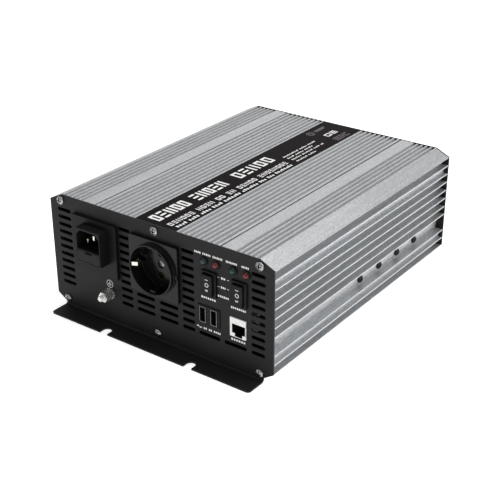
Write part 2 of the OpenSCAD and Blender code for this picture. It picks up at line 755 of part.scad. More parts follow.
module dc_stud_nuts() color("#cfcfca") for (s = [-1, 1], y = terminal_nut_y)
    hex_nut(s * terminal_x, terminal_z, terminal_nut_af, terminal_r + 0.02, y, y + terminal_nut_t);

// Copper bars from the terminals down to the board
module dc_busbars() color("#b87333") for (s = [-1, 1]) {
    bar_y = rear_y - panel_t - 12.5;
    difference() {
        translate([s * terminal_x - busbar_w / 2, bar_y, board_top])
            cube([busbar_w, busbar_t, terminal_z + 8 - board_top]);
        rod(s * terminal_x, terminal_z, terminal_hole_r, bar_y - 1, bar_y + 3);
    }
    translate([s * terminal_x - busbar_w / 2, board_rear - 12, board_top])
        cube([busbar_w, bar_y - board_rear + 12 + eps, busbar_t]);
}

// ---- Circuit board ----

module main_board() color("#1d5a35") difference() {
    translate([-board_half_w, board_front, board_z])
        cube([2 * board_half_w, board_rear - board_front, board_t]);
    for (s = [-1, 1], y = standoff_y) translate([s * standoff_x, y, board_z - 1]) cylinder(r = 1.7, h = 4);
}

module board_standoffs() color("#c6a25a") for (s = [-1, 1], y = standoff_y)
    translate([s * standoff_x, y, inner_floor]) difference() {
        cylinder(d = 6 / cos(30), h = board_z - inner_floor, $fn = 6);
        translate([0, 0, 2]) cylinder(r = 1.3, h = 20);
    }

module board_screws() color("#c8c9ca") for (s = [-1, 1], y = standoff_y)
    translate([s * standoff_x, y, board_top]) pan_screw(2.8, 1.8, 1.25, 6);

// Ferrite cores with a window at each side of the middle leg
module transformer_cores() color("#3a3a3c") for (s = [-1, 1])
    translate([s * transformer_x, transformer_y, board_top + 3]) difference() {
        translate([-core_w / 2, -core_d / 2, 0]) cube([core_w, core_d, core_h]);
        for (w = [-1, 1]) translate([w * 11, 0, core_h / 2]) cube([10, core_d + 1, 26], center = true);
    }

module transformer_windings() color("#c9a227") for (s = [-1, 1])
    translate([s * transformer_x, transformer_y, board_top + 3 + core_h / 2]) difference() {
        cube([31.4, 38, 25.4], center = true);
        cube([12.6, core_d + 0.6, 26], center = true);
    }

module choke_core() color("#c9c23a") translate([0, choke_y, board_top + 3]) difference() {
    cylinder(r = 16, h = 12);
    translate([0, 0, -1]) cylinder(r = 9, h = 14);
}

// Copper winding over most of the ring
module choke_winding() color("#b87333") translate([0, choke_y, board_top + 3]) rotate(30)
    rotate_extrude(angle = 300) difference() {
        translate([7, -2]) square([11, 16]);
        translate([8.9, -0.1]) square([7.2, 12.2]);
    }

module capacitor(x, y, r, h) translate([x, y, board_top]) {
    cylinder(r = r, h = h - 1);
    translate([0, 0, h - 1 - eps]) cylinder(r1 = r, r2 = r - 1, h = 1);
}
module high_voltage_capacitors() color("#26304a")
    for (x = [-64, -38], y = [-72, -44]) capacitor(x, y, 11, 45);
module input_capacitors() color("#23402f") for (i = [-3.5 : 3.5]) capacitor(i * 17.5, 78, 8, 32);

// Flat transistors against the inner face of each bar, their legs down in the board
module power_transistors() color("#1d1d1f") for (s = [-1, 1], i = [0 : 7])
    translate([s * (inner_x - bar_t - 2.3), bar_y0 + 10 + i * transistor_pitch, 0]) {
        translate([-2.2, -5, bar_z0]) cube([4.4, 10, 15]);
        for (k = [-1 : 1]) translate([-0.4, k * 2.5 - 0.4, board_top])
            cube([0.8, 0.8, bar_z0 - board_top + eps]);
    }

module bypass_relays() color("#20242c") for (y = [-78, -50]) translate([34, y, board_top]) cube([28, 16, 22]);

case_top();
case_bottom();
front_panel();
rear_panel();
top_label();
front_panel_screws();
rear_panel_screws();
side_screws();
heat_bar(-1);  // heat_bar_left
heat_bar(1);  // heat_bar_right
ac_socket_housing();
ac_socket_earth_clips();
ac_socket_contacts();
ac_socket_screw();
inlet_plate();
inlet_housing();
inlet_pins();
fuse_drawer();
line_fuses();
ground_stud();
ground_lock_washer();
ground_nuts();
led_bezels();
led_bypass();
led_charger();
led_inverter();
led_fault();
charger_switch_frame();
charger_rocker();
inverter_switch_frame();
inverter_rocker();
usb_module();
usb_shells();
usb_tongues();
rj45_jack();
rj45_contacts();
fan_left_frame();
fan_left_rotor();
fan_left_guard();
fan_right_frame();
fan_right_rotor();
fan_right_guard();
fan_screws();
dc_positive_insulator();
dc_negative_insulator();
dc_studs();
dc_stud_nuts();
dc_busbars();
main_board();
board_standoffs();
board_screws();
control_board();
transformer_cores();
transformer_windings();
choke_core();
choke_winding();
high_voltage_capacitors();
input_capacitors();
power_transistors();
bypass_relays();
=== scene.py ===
"""Looks of a mains inverter and battery charger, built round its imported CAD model.

The layout is a Blender add-on's: settings, one operator for each group of pieces, and a
panel that lists them. Run as a script, it builds every piece in order. All lengths are in
metres in the frame's own axes, and sizes given in millimetres are multiplied by MM.
"""

import json
import math

import bpy
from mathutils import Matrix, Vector


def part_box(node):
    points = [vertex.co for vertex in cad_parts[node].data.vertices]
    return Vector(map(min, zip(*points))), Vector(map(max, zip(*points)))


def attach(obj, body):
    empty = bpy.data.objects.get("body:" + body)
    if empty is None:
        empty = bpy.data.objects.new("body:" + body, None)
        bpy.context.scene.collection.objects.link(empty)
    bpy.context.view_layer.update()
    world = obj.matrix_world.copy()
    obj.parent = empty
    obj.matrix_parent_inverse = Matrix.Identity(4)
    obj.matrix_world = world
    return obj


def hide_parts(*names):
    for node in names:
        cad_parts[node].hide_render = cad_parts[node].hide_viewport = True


bl_info = {
    "name": "Power inverter looks",
    "version": (1, 0, 0),
    "blender": (4, 5, 0),
    "location": "View3D > Sidebar > Inverter",
    "description": "Builds the detailed pieces and finishes of a mains inverter",
    "category": "Object",
}

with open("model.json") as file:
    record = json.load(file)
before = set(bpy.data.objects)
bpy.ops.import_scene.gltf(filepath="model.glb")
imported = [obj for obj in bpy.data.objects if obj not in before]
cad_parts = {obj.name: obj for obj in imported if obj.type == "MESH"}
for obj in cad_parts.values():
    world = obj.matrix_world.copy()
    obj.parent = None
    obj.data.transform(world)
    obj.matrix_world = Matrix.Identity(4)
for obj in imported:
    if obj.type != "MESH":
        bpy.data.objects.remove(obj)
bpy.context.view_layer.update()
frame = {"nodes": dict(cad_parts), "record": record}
NODES = frame["nodes"]
BODY_OF = {n: b for b, names in frame["record"]["behaviour"]["bodies"].items() for n in names}
SLOT_OF = {part["node"]: part["material_slot"] for part in frame["record"]["subparts"]}
MM = 0.001
PANEL_STEEL = 1.5 * MM  # thickness of the folded end panels
REAR, UP = Vector((0, 1, 0)), Vector((0, 0, 1))
FINISHES = {}


# ---- Places on the frame ----


def centre(node):
    """Middle of a CAD node's box."""
    low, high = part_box(node)
    return (low + high) / 2


def side_of(node, axis, end):
    """Place of one face of a CAD node's box: axis 0, 1 or 2, end 0 for low and 1 for high."""
    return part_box(node)[end][axis]


# ---- Finishes ----


def linear(colour):
    """Turns an sRGB hex colour into the linear numbers that the shader takes."""
    values = [int(colour[i:i + 2], 16) / 255 for i in (1, 3, 5)]
    return [v / 12.92 if v <= 0.04045 else ((v + 0.055) / 1.055) ** 2.4 for v in values] + [1.0]


def add_node(finish, kind, settings=None, links=None):
    """Adds a node to a finish, with its settings, and its inputs as values or as links."""
    node = finish.node_tree.nodes.new(kind)
    for key, value in (settings or {}).items():
        setattr(node, key, value)
    for key, value in (links or {}).items():
        if isinstance(value, bpy.types.NodeSocket):
            finish.node_tree.links.new(value, node.inputs[key])
        else:
            node.inputs[key].default_value = value
    return node


def grained(name, dark, light, roughness, grain, metallic=0.0, stretch=(1, 1, 1), depth=0.0,
            spread=0.06, specular=0.5):
    """Finish with one fine grain that varies its tone, its gloss and its relief.

    grain is the size of the grain in millimetres, stretch draws it out along an axis, and
    depth is the height of its relief in millimetres. The roughness varies by spread.
    """
    finish = bpy.data.materials.new(name)
    finish.use_nodes = True
    shader = finish.node_tree.nodes["Principled BSDF"]
    shader.inputs["Metallic"].default_value = metallic
    shader.inputs["Specular IOR Level"].default_value = specular
    place = add_node(finish, "ShaderNodeTexCoord")
    scale = [1 / (grain * MM * s) for s in stretch]
    drawn = add_node(finish, "ShaderNodeMapping", None,
                     {"Vector": place.outputs["Object"], "Scale": scale})
    noise = add_node(finish, "ShaderNodeTexNoise", None,
                     {"Vector": drawn.outputs[0], "Scale": 1.0, "Detail": 3.0, "Roughness": 0.6})
    spot = add_node(finish, "ShaderNodeMapRange", None,
                    {"Value": noise.outputs[0], "From Min": 0.3, "From Max": 0.7})
    tone = add_node(finish, "ShaderNodeMix", {"data_type": "RGBA"},
                    {0: spot.outputs[0], 6: linear(dark), 7: linear(light)})
    gloss = add_node(finish, "ShaderNodeMapRange", None,
                     {"Value": spot.outputs[0], "To Min": roughness - spread, "To Max": roughness + spread})
    relief = add_node(finish, "ShaderNodeBump", None,
                      {"Height": spot.outputs[0], "Distance": depth * MM, "Strength": 1.0})
    link = finish.node_tree.links.new
    link(tone.outputs[2], shader.inputs["Base Color"])
    link(gloss.outputs[0], shader.inputs["Roughness"])
    if depth:
        link(relief.outputs[0], shader.inputs["Normal"])
    return finish


def blasted_aluminium(settings):
    """Extruded, sand-blasted and clear-anodised aluminium.

    The die leaves faint lines about 0.9 mm wide and 110 mm long, and the blasting a sparkle of
    tiny pits. The pits are drawn about a millimetre wide, coarser than real grit marks, so that
    they show.
    """
    finish = bpy.data.materials.new("sand_blasted_anodised_aluminium")
    finish.use_nodes = True
    shader = finish.node_tree.nodes["Principled BSDF"]
    shader.inputs["Metallic"].default_value = 0.85
    lines_per_metre, lines_along, pits_share = 1100.0, 9.0, 0.7
    place = add_node(finish, "ShaderNodeTexCoord")
    along = add_node(finish, "ShaderNodeMapping", None,
                     {"Vector": place.outputs["Object"],
                      "Scale": (lines_per_metre, lines_along, lines_per_metre)})
    lines = add_node(finish, "ShaderNodeTexNoise", None,
                     {"Vector": along.outputs[0], "Scale": 1.0, "Detail": 4.0, "Roughness": 0.65})
    pits = add_node(finish, "ShaderNodeTexNoise", None,
                    {"Vector": place.outputs["Object"], "Scale": 1 / settings.pit_size, "Detail": 2.0,
                     "Roughness": 0.7})
    drawn = add_node(finish, "ShaderNodeMapRange", None,
                     {"Value": lines.outputs[0], "From Min": 0.32, "From Max": 0.68})
    spark = add_node(finish, "ShaderNodeMapRange", None,
                     {"Value": pits.outputs[0], "From Min": 0.34, "From Max": 0.66})
    both = add_node(finish, "ShaderNodeMix", {"data_type": "FLOAT"},
                    {0: pits_share, 2: drawn.outputs[0], 3: spark.outputs[0]})
    tone = add_node(finish, "ShaderNodeMix", {"data_type": "RGBA"},
                    {0: both.outputs[0], 6: linear("#989a9d"), 7: linear("#dadcdd")})
    gloss = add_node(finish, "ShaderNodeMapRange", None,
                     {"Value": both.outputs[0], "To Min": 0.36, "To Max": 0.56})
    relief = add_node(finish, "ShaderNodeBump", None,
                      {"Height": both.outputs[0], "Distance": 0.05 * MM, "Strength": 1.0})
    link = finish.node_tree.links.new
    link(tone.outputs[2], shader.inputs["Base Color"])
    link(gloss.outputs[0], shader.inputs["Roughness"])
    link(relief.outputs[0], shader.inputs["Normal"])
    FINISHES["case_aluminium"] = finish


def make_finishes(settings):
    """Makes every finish once, under the name that the pieces ask for."""
    blasted_aluminium(settings)
    recipes = {
        # Epoxy-polyester powder baked on steel: dull, with a fine orange peel
        "panel_powder_coat": dict(name="powder_coated_steel", dark="#1a1a1a", light="#222222",
                                  roughness=0.5, grain=0.7, depth=0.012, spread=0.05, specular=0.15),
        # Painted light: the insides of the top grooves in a paler, less metallic copy of the extrusion's
        # finish, which stands in for the light that the grooves' shade takes away
        "groove_painted_light": dict(name="painted_light_groove_aluminium", dark="#b9bbbd", light="#d4d6d7",
                                 roughness=0.5, grain=0.5, metallic=0.6, stretch=(1, 60, 1),
                                 depth=0.01),
        # Reverse-printed polyester film: smooth, even and almost without gloss
        "label_film": dict(name="printed_polyester_film", dark="#1e1b1c", light="#232021",
                           roughness=0.6, grain=2.0, depth=0.002, spread=0.04, specular=0.01),
        # Screen-printed epoxy ink: flat white with faint pinholes
        "white_ink": dict(name="screen_printed_white_ink", dark="#dededc", light="#f4f4f2",
                          roughness=0.6, grain=0.3, depth=0.004, spread=0.05),
        # Zinc plate on pressed steel: bright, with cloudy patches
        "zinc_screw": dict(name="bright_zinc_plate", dark="#8c8d8b", light="#b6b7b4", roughness=0.26,
                           grain=1.6, metallic=1.0, depth=0.003, spread=0.08),
        # New nickel plate on the earth stud, its nuts and its washer: brighter than the screws
        "earth_nickel": dict(name="bright_nickel_plate", dark="#c9c9c5", light="#ebebe6",
                             roughness=0.36, grain=1.0, metallic=0.9, depth=0.003, spread=0.08),
        # Black oxide on steel, with a trace of oil
        "black_screw": dict(name="black_oxide_steel", dark="#121212", light="#1d1d1e", roughness=0.4,
                            grain=0.5, metallic=0.7, depth=0.003, spread=0.08),
        # Drawn bar: lines along its length
        "bar_aluminium": dict(name="drawn_aluminium_bar", dark="#9fa1a3", light="#c3c5c6",
                              roughness=0.38, grain=0.5, metallic=1.0, stretch=(1, 40, 1), depth=0.006,
                              spread=0.08),
        # Glass-filled nylon and ABS from a spark-eroded mould: a very fine even grain
        "black_moulding": dict(name="moulded_black_thermoplastic", dark="#121212", light="#181818",
                               roughness=0.4, grain=0.35, depth=0.006, spread=0.05, specular=0.13),
        # Polished mould: the same plastic with a glossy face
        "glossy_moulding": dict(name="polished_black_thermoplastic", dark="#101010", light="#151515",
                                roughness=0.16, grain=3.0, depth=0.002, spread=0.03, specular=0.2),
        # Nickel plate on rolled spring bronze
        "earth_spring": dict(name="nickel_plated_spring_strip", dark="#cfcac0", light="#e6e2d8",
                             roughness=0.2, grain=0.4, metallic=1.0, stretch=(1, 12, 1), depth=0.002),
        # Turned brass, drawn darker than fresh brass: its tone is partly painted shade, so that the socket's
        # contact tubes sit dark in their holes; fine rings round its axis are too small to show, so a soft
        # mottle stands in
        "brass": dict(name="turned_brass_painted_darker", dark="#8a6f36", light="#a88a4c", roughness=0.34, grain=0.6,
                      metallic=1.0, depth=0.003),
        # Drawn glass tube: pale and glossy, with slow waves along it
        "fuse_glass": dict(name="drawn_glass_tube", dark="#d9dcdc", light="#eef0f0", roughness=0.06,
                           grain=2.0, stretch=(8, 1, 1), spread=0.02),
        # Diffused epoxy lenses, cast in a polished mould: dark while unlit
        "lamp_teal": dict(name="cast_epoxy_teal", dark="#0b2228", light="#13353e", roughness=0.16,
                          grain=1.0, depth=0.002, spread=0.03),
        "lamp_red": dict(name="cast_epoxy_red", dark="#4e0a12", light="#77121d", roughness=0.16,
                         grain=1.0, depth=0.002, spread=0.03),
        "lamp_green": dict(name="cast_epoxy_green", dark="#05261b", light="#0a3a2a", roughness=0.16,
                           grain=1.0, depth=0.002, spread=0.03),
        # Glass-filled white polyester: almost plain, slightly warm
        "white_moulding": dict(name="moulded_white_polyester", dark="#e6e6e4", light="#f4f4f2",
                               roughness=0.36, grain=0.5, depth=0.004, spread=0.05),
        # Tin plate on deep-drawn steel: dulled, with lines where it was drawn
        "steel_shell": dict(name="tin_plated_steel", dark="#85878a", light="#a6a8aa", roughness=0.24,
                            grain=0.4, metallic=1.0, stretch=(1, 10, 1), depth=0.003, spread=0.07),
        # Gold flash over nickel on spring wire: lines along the wire
        "gold_contact": dict(name="gold_flashed_wire", dark="#c79a3d", light="#e2bb63", roughness=0.2,
                             grain=0.3, metallic=1.0, stretch=(1, 6, 1), depth=0.002, spread=0.05),
        # Pigmented nylon: even, with a fine mould grain
        "red_moulding": dict(name="moulded_red_nylon", dark="#8f1614", light="#a91d19", roughness=0.36,
                             grain=0.4, depth=0.006, spread=0.05),
        # Woven glass and epoxy under solder mask: the weave shows faintly
        "board_green": dict(name="solder_masked_glass_epoxy", dark="#0c2b19", light="#133d24",
                            roughness=0.3, grain=0.9, depth=0.006),
        # Rolled copper bar: faint upright lines
        "copper": dict(name="rolled_copper_bar", dark="#a8623a", light="#c98457", roughness=0.32,
                       grain=0.6, metallic=1.0, stretch=(1, 1, 14), depth=0.004, spread=0.07),
        # Sintered ferrite: dark, matt and slightly pitted
        "ferrite": dict(name="sintered_ferrite", dark="#2c2c2f", light="#3f3f43", roughness=0.66,
                        grain=0.8, depth=0.03),
        # Polyester tape wound in overlapping layers
        "winding_tape": dict(name="wound_polyester_tape", dark="#b8901c", light="#d9b23a",
                             roughness=0.22, grain=1.2, stretch=(20, 1, 20), depth=0.03),
        # Epoxy-coated iron powder: matt, with a fine roughness
        "iron_powder": dict(name="epoxy_coated_iron_powder", dark="#b9b235", light="#cfc94e",
                            roughness=0.5, grain=0.7, depth=0.02),
        # Enamelled copper wire: copper under a glossy varnish
        "enamel_wire": dict(name="enamelled_copper_wire", dark="#9c5226", light="#bd6d38",
                            roughness=0.22, grain=0.8, metallic=0.8, depth=0.004, spread=0.05),
        # Shrunk plastic sleeves: glossy, with a slow ripple up them
        "capacitor_blue": dict(name="shrunk_blue_sleeve", dark="#1b243f", light="#283356",
                               roughness=0.28, grain=1.5, stretch=(1, 1, 4), depth=0.01, spread=0.05),
        "capacitor_green": dict(name="shrunk_green_sleeve", dark="#163526", light="#204735",
                                roughness=0.28, grain=1.5, stretch=(1, 1, 4), depth=0.01, spread=0.05),
        # Painted shade: the inside of a screw's cross in near black, which stands in for the shade in the
        # recess
        "painted_recess_shade": dict(name="painted_shade_screw_recess", dark="#161616", light="#232322", roughness=0.5,
                             grain=0.3, metallic=0.6, depth=0.004, specular=0.3),
        # Painted shade: dead matt black on the inside faces of the case and on the extrusion's cut ends,
        # which stands in for the shade in there, so that nothing bright shows through the vents
        "painted_inside_shade": dict(name="painted_shade_inside_case", dark="#0c0c0c", light="#121212",
                                 roughness=0.85, grain=0.6, depth=0.01, spread=0.05, specular=0.1),
        # Grey second print, fainter than the white
        "grey_ink": dict(name="screen_printed_grey_ink", dark="#6d6a6b", light="#7c797a", roughness=0.6,
                         grain=0.3, depth=0.004, spread=0.05),
        # Transfer-moulded epoxy packages: matt grey-black
        "package_black": dict(name="transfer_moulded_epoxy", dark="#161618", light="#222225",
                              roughness=0.5, grain=0.4, depth=0.012),
    }
    for key, recipe in recipes.items():
        FINISHES[key] = grained(**recipe)


# ---- Modelling ----


def deselect():
    """Goes to object mode with nothing selected."""
    if bpy.context.object and bpy.context.object.mode != "OBJECT":
        bpy.ops.object.mode_set(mode="OBJECT")
    bpy.ops.object.select_all(action="DESELECT")


def only(piece):
    """Selects one object and nothing else."""
    deselect()
    piece.select_set(True)
    bpy.context.view_layer.objects.active = piece


def started(name, add, **size):
    """Adds a primitive with nothing else selected, and names it."""
    deselect()
    add(**size)
    piece = bpy.context.object
    piece.name = piece.data.name = name
    return piece


def joined(name, pieces):
    """Joins objects into one."""
    only(pieces[0])
    for piece in pieces:
        piece.select_set(True)
    bpy.ops.object.join()
    piece = bpy.context.object
    piece.name = piece.data.name = name
    return piece


def modified(piece, kind, **settings):
    """Adds a modifier and applies it."""
    only(piece)
    modifier = piece.modifiers.new(kind.lower(), kind)
    for key, value in settings.items():
        setattr(modifier, key, value)
    bpy.ops.object.modifier_apply(modifier=modifier.name)
    return piece


def bevelled(piece, width, segments=2):
    """Rounds the edges of a piece that turn by more than 30 degrees; width is in millimetres."""
    return modified(piece, "BEVEL", width=width * MM, segments=segments, limit_method="ANGLE",
                    angle_limit=math.radians(30), use_clamp_overlap=False, miter_outer="MITER_ARC")


def turned(name, profile, middle, axis):
    """Turns a profile round an axis through middle, in 40 steps.

    The profile is a list of (along the axis, radius) in millimetres. It begins and ends on
    the axis, or it ends where it began.
    """
    across = Vector((1, 0, 0)) if abs(axis.x) < 0.5 else UP
    points = [middle + axis * (a * MM) + across * (r * MM) for a, r in profile]
    piece = started(name, bpy.ops.mesh.primitive_plane_add, size=MM, location=points[0])
    bpy.ops.object.mode_set(mode="EDIT")
    bpy.ops.mesh.select_all(action="SELECT")
    bpy.ops.mesh.merge(type="CENTER")
    for last, point in zip(points, points[1:]):
        bpy.ops.mesh.extrude_region_move(TRANSFORM_OT_translate={"value": point - last})
    bpy.ops.mesh.select_all(action="SELECT")
    bpy.ops.mesh.spin(steps=40, angle=2 * math.pi, center=middle, axis=axis)
    bpy.ops.mesh.select_all(action="SELECT")
    bpy.ops.mesh.remove_doubles(threshold=0.002 * MM)
    bpy.ops.mesh.normals_make_consistent(inside=False)
    bpy.ops.object.mode_set(mode="OBJECT")
    return piece


def thread(start, end, radius, pitch, depth):
    """Profile of a screw thread as rings between two places along its axis, in millimetres."""
    count = max(1, round(abs(end - start) / pitch))
    step = (end - start) / count
    points = []
    for i in range(count):
        points += [(start + i * step, radius - depth), (start + (i + 0.45) * step, radius),
                   (start + (i + 0.6) * step, radius)]
    return points + [(end, radius - depth)]


def settled(piece, finish, like, smooth=35, replaces=()):
    """Puts a finished piece's place in its mesh, and gives it its finish and body.

    like is the CAD node whose body it takes, and smooth the angle in degrees up to
    which its shading runs on over an edge.
    """
    only(piece)
    bpy.ops.object.transform_apply(location=True, rotation=True, scale=True)
    bpy.ops.object.shade_smooth_by_angle(angle=math.radians(smooth))
    piece.data.materials.clear()
    piece.data.materials.append(FINISHES[finish])
    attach(piece, BODY_OF[like])
    if replaces:
        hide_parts(*replaces)
    return piece


def patched(piece, finish, chosen):
    """Gives a second finish to the faces for which chosen(middle, normal) is true."""
    piece.data.materials.append(FINISHES[finish])
    for face in piece.data.polygons:
        if chosen(face.center, face.normal):
            face.material_index = len(piece.data.materials) - 1
    return piece


def crossed(piece, axis, places, radius):
    """Paints shade into the cross in each round head; places are the heads' middles across the axis.

    The cross is what lies near a head's middle and either faces sideways or is sunk.
    """
    top = max(abs(corner.co[axis]) for corner in piece.data.vertices)
    sunk = 0.45 * MM

    def inside(at, normal):
        flat = [value / MM for i, value in enumerate(at) if i != axis]
        near = min(math.dist(flat, place) for place in places) < 0.6 * radius
        return near and (abs(normal[axis]) < 0.5 or top - abs(at[axis]) > sunk)

    return patched(piece, "painted_recess_shade", inside)


def softened(node, name, width=0.25, segments=2, finish=None, merge=True):
    """Copy of a CAD node whose sharp edges are rounded, which stands for it.

    width is in millimetres. merge joins flat faces first; it covers some holes, so a piece
    whose hole it would cover is left unmerged.
    """
    piece = bpy.data.objects.new(name, NODES[node].data.copy())
    piece.data.name = name
    bpy.context.scene.collection.objects.link(piece)
    only(piece)
    bpy.ops.object.mode_set(mode="EDIT")
    bpy.ops.mesh.customdata_custom_splitnormals_clear()
    bpy.ops.mesh.select_all(action="SELECT")
    bpy.ops.mesh.remove_doubles(threshold=0.002 * MM)
    if merge:
        bpy.ops.mesh.dissolve_limited(angle_limit=math.radians(0.6), delimit={"NORMAL"})
    bpy.ops.object.mode_set(mode="OBJECT")
    bevelled(piece, width, segments)
    settled(piece, finish or SLOT_OF[node], node, replaces=(node,))
    return modified(piece, "WEIGHTED_NORMAL", keep_sharp=True, weight=100)


def ink_marks(name, blocks, thickness, rings=()):
    """Flat marks of ink on the plane z = 0, which stand thickness above it.

    Each block is (x, y, width, length) and each ring (x, y, outer radius, line), in millimetres.
    Ink runs a little, so the blocks' corners are rounded.
    """
    piece = started(name, bpy.ops.mesh.primitive_plane_add, size=1, location=(0, 0, 0))
    bpy.ops.object.mode_set(mode="EDIT")
    bpy.ops.mesh.delete(type="VERT")
    for x, y, width, length in blocks:
        place = (x * MM, y * MM, 0)
        bpy.ops.mesh.primitive_plane_add(size=1, location=place)
        bpy.ops.transform.resize(value=(width * MM, length * MM, 1), center_override=place)
    bpy.ops.mesh.select_all(action="SELECT")
    bpy.ops.mesh.bevel(affect="VERTICES", offset=0.12 * MM, segments=2, clamp_overlap=True)
    for x, y, radius, line in rings:
        bpy.ops.mesh.primitive_circle_add(vertices=32, radius=radius * MM, fill_type="NGON",
                                          location=(x * MM, y * MM, 0))
        bpy.ops.mesh.inset(thickness=line * MM)
        bpy.ops.mesh.delete(type="FACE")
    bpy.ops.mesh.select_all(action="SELECT")
    bpy.ops.mesh.extrude_region_move(TRANSFORM_OT_translate={"value": (0, 0, thickness)})
    bpy.ops.mesh.select_all(action="SELECT")
    bpy.ops.mesh.normals_make_consistent(inside=False)
    bpy.ops.object.mode_set(mode="OBJECT")
    return piece


def stood_up(piece, y):
    """Stands flat marks up to face the front, on the plane at y."""
    piece.rotation_euler = (math.pi / 2, 0, 0)
    piece.location = (0, y, 0)
    return piece


def word_row(start, end, words, share=0.66):
    """Places of greeked letters along a row, as (middle, length), from the words' letter counts.

    share is how much of its pitch a letter fills.
    """
    space = 0.8
    cells = sum(words) + space * (len(words) - 1)
    pitch = (end - start) / cells
    places, at = [], start
    for word in words:
        for _ in range(word):
            places.append((at + pitch / 2, pitch * share))
            at += pitch
        at += space * pitch
    return places


def glyph(kind, across, along, high, wide, stroke):
    """One meaningless mark made of strokes: a box, two standing bars, or three lying ones."""
    w, h = wide - stroke, high - stroke
    if kind == 0:
        return ([(across, along + s * w / 2, high, stroke) for s in (-1, 1)]
                + [(across + s * h / 2, along, stroke, wide - 1.9 * stroke) for s in (-1, 1)])
    if kind == 1:
        return [(across, along + s * w / 2, high, stroke) for s in (-1, 1)]
    return [(across + i * h / 2, along, stroke, wide) for i in (-1, 0, 1)]


# ---- Settings ----


class CaseSettings(bpy.types.PropertyGroup):
    """Sizes of the finned case's finish."""

    edge_round: bpy.props.FloatProperty(
        name="Edge rounding", description="Radius on the extrusion's edges",
        default=0.0003, min=0.00005, max=0.0006, unit="LENGTH")
    pit_size: bpy.props.FloatProperty(
        name="Blasting pits", description="Width of the pits that the sand blasting leaves",
        default=0.0009, min=0.0002, max=0.002, unit="LENGTH")


class PrintSettings(bpy.types.PropertyGroup):
    """Sizes of the printed marks."""

    ink_height: bpy.props.FloatProperty(
        name="Ink thickness", description="Height of the printed marks above their surface",
        default=0.00003, min=0.00001, max=0.0002, unit="LENGTH")


class StageSettings(bpy.types.PropertyGroup):
    """Light, floor and camera."""

    floor_colour: bpy.props.FloatVectorProperty(
        name="Floor", description="Colour of the floor", subtype="COLOR", default=(0.93, 0.93, 0.93))
    floor_glow: bpy.props.FloatProperty(
        name="Floor glow", description="Light that comes up through the floor, like a light table's",
        default=0.55, min=0.0)
    sky: bpy.props.FloatProperty(
        name="Sky", description="Strength of the light from all round", default=0.5, min=0.0)
    key: bpy.props.FloatProperty(
        name="Overhead light", description="Power of the large light above",
        default=9.0, min=0.0, unit="POWER")
    back: bpy.props.FloatProperty(
        name="Back light", description="Power of the light behind, whose reflection lies on the top",
        default=1.6, min=0.0, unit="POWER")
    fill: bpy.props.FloatProperty(
        name="Side light", description="Power of the light from the right",
        default=8.8, min=0.0, unit="POWER")


# ---- Operators ----


class INVERTER_OT_case(bpy.types.Operator):
    """Builds the two halves of the finned case"""

    bl_idname = "inverter.case"
    bl_label = "Case"

    def execute(self, context):
        settings = context.scene.inverter_case
        top = side_of("case_top", 2, 1)
        shade_half_width = side_of("heat_bar_right", 0, 1) + 0.2 * MM
        shade_low, shade_high = 3 * MM, top - 5.5 * MM
        seam, grooves_end = 61.8 * MM, 97 * MM
        groove_mouth, groove_floor = top - 0.3 * MM, top - 3.5 * MM

        # Painted shade: the case's inside faces, and its faces across its length at the cut ends, are chosen
        # for the matt black
        def shaded_inside(at, normal):
            inside = abs(at.x) < shade_half_width and shade_low < at.z < shade_high
            return inside or abs(normal.y) > 0.9

        # Painted light: the walls and floors of the top grooves, all but the seam grooves, are chosen for the
        # paler finish
        def grooved(at, normal):
            on_top = abs(at.x) < grooves_end and groove_floor < at.z < groove_mouth
            return on_top and abs(abs(at.x) - seam) > MM and abs(normal.y) < 0.5

        for node in ("case_top", "case_bottom"):
            half = softened(node, node + "_extrusion", settings.edge_round / MM)
            # Painted shade: the inside of the case and its cut ends in dead matt black
            patched(half, "painted_inside_shade", shaded_inside)
            # Painted light: the top grooves get the paler finish, which lightens their shade
            patched(half, "groove_painted_light", grooved)
        return {"FINISHED"}


